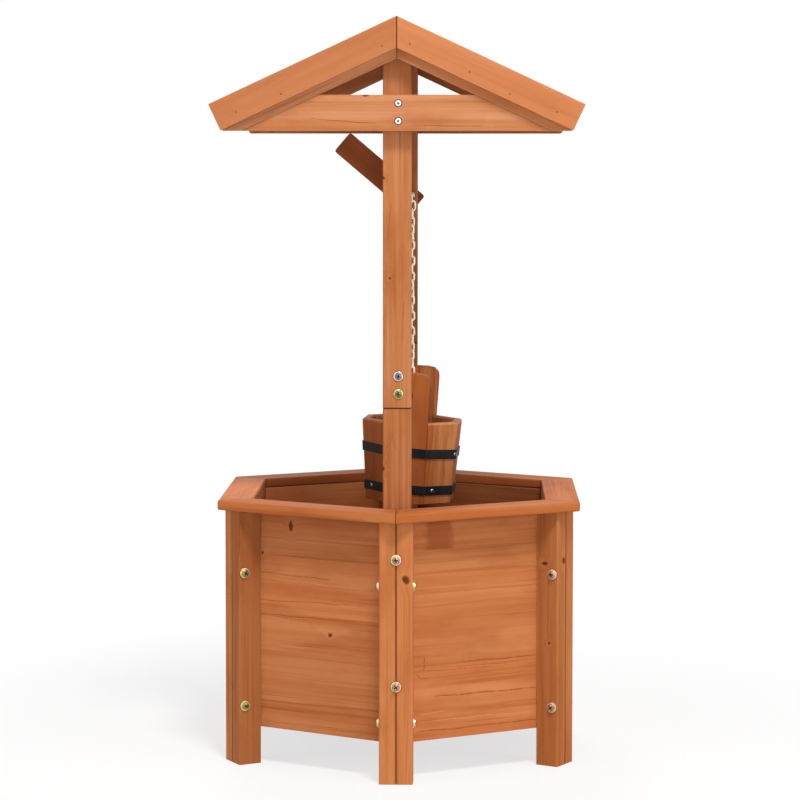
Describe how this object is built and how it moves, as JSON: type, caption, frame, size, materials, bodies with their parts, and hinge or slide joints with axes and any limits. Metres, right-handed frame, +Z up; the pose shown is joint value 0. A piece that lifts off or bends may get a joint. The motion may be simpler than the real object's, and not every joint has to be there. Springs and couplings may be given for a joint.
{
  "type": "wishing well planter",
  "caption": "Hexagonal wooden planter with posts, a gabled roof, and a staved bucket that hangs by a chain from a crank shaft; plants stand inside the planter.",
  "frame": {"origin": "on the ground, under the middle of the planter", "axes": "+Z up, -Y towards the front corner of the planter; the crank shaft runs along Y, with its arm at the rear (+Y)"},
  "size_m": [0.522, 0.6, 1.0689],
  "materials": {
    "fir_leg": "stained fir, satin",
    "fir_panel": "stained fir, satin",
    "fir_rim": "stained fir, satin",
    "fir_floor": "stained fir, matt",
    "fir_post": "stained fir, satin",
    "fir_gable": "stained fir, satin",
    "fir_roof": "stained fir, satin",
    "fir_crank": "dark stained fir, satin",
    "fir_bucket": "stained fir, satin",
    "hoop_black": "black paint, half matt",
    "chain_zinc": "pale zinc plating"
  },
  "bodies": {
    "base": {"leg_back_right_a": "fir_leg", "leg_back_right_b": "fir_leg", "leg_back_a": "fir_leg", "leg_back_b": "fir_leg", "leg_back_left_a": "fir_leg", "leg_back_left_b": "fir_leg", "leg_front_left_a": "fir_leg", "leg_front_left_b": "fir_leg", "leg_front_a": "fir_leg", "leg_front_b": "fir_leg", "leg_front_right_a": "fir_leg", "leg_front_right_b": "fir_leg", "panel_right": "fir_panel", "panel_back_right": "fir_panel", "panel_back_left": "fir_panel", "panel_left": "fir_panel", "panel_front_left": "fir_panel", "panel_front_right": "fir_panel", "rim_right": "fir_rim", "rim_back_right": "fir_rim", "rim_back_left": "fir_rim", "rim_left": "fir_rim", "rim_front_left": "fir_rim", "rim_front_right": "fir_rim", "floor_board_1": "fir_floor", "floor_board_2": "fir_floor", "floor_board_3": "fir_floor", "post_front_lower": "fir_post", "post_front_upper": "fir_post", "post_rear_lower": "fir_post", "post_rear_upper": "fir_post", "tie_beam_front": "fir_gable", "tie_beam_rear": "fir_gable", "rafter_front_right": "fir_gable", "rafter_front_left": "fir_gable", "rafter_rear_left": "fir_gable", "rafter_rear_right": "fir_gable", "fascia_front_right": "fir_gable", "fascia_front_left": "fir_gable", "fascia_rear_left": "fir_gable", "fascia_rear_right": "fir_gable", "roof_right": "fir_roof", "roof_left": "fir_roof"},
    "crank": {"crank_shaft": "fir_crank", "crank_arm": "fir_crank", "crank_handle": "fir_crank"},
    "chain": {"chain": "chain_zinc"},
    "hanger": {"bucket_ring": "chain_zinc"},
    "bucket": {"bucket_rod": "fir_bucket", "stave_right": "fir_bucket", "stave_back_right": "fir_bucket", "stave_back": "fir_bucket", "stave_back_left": "fir_bucket", "stave_left": "fir_bucket", "stave_front_left": "fir_bucket", "stave_front": "fir_bucket", "stave_front_right": "fir_bucket", "bucket_bottom": "fir_bucket", "hoop_upper": "hoop_black", "hoop_lower": "hoop_black"}
  },
  "joints": [
    {"name": "crank_turn", "type": "hinge", "parent": "base", "child": "crank", "pos_m": [0, 0, 0.81404], "axis": [0, -1, 0], "range_deg": [0, 260.7]},
    {"name": "chain_swing", "type": "hinge", "parent": "base", "child": "chain", "pos_m": [0.0153, 0, 0.81804], "axis": [0, 1, 0], "range_deg": [-12, 12]},
    {"name": "bucket_lift", "type": "slide", "parent": "chain", "child": "hanger", "axis": [0, 0, 1], "range_m": [0, 0.07], "deforming": ["chain"]},
    {"name": "bucket_tip", "type": "hinge", "parent": "hanger", "child": "bucket", "pos_m": [0.0153, 0, 0.52929], "axis": [0.0802, 0.9968, 0], "range_deg": [-35, 35]}
  ],
  "couplings": [
    {"joint": "bucket_lift", "follows": "crank_turn", "m_per_rad": 0.0153}
  ]
}
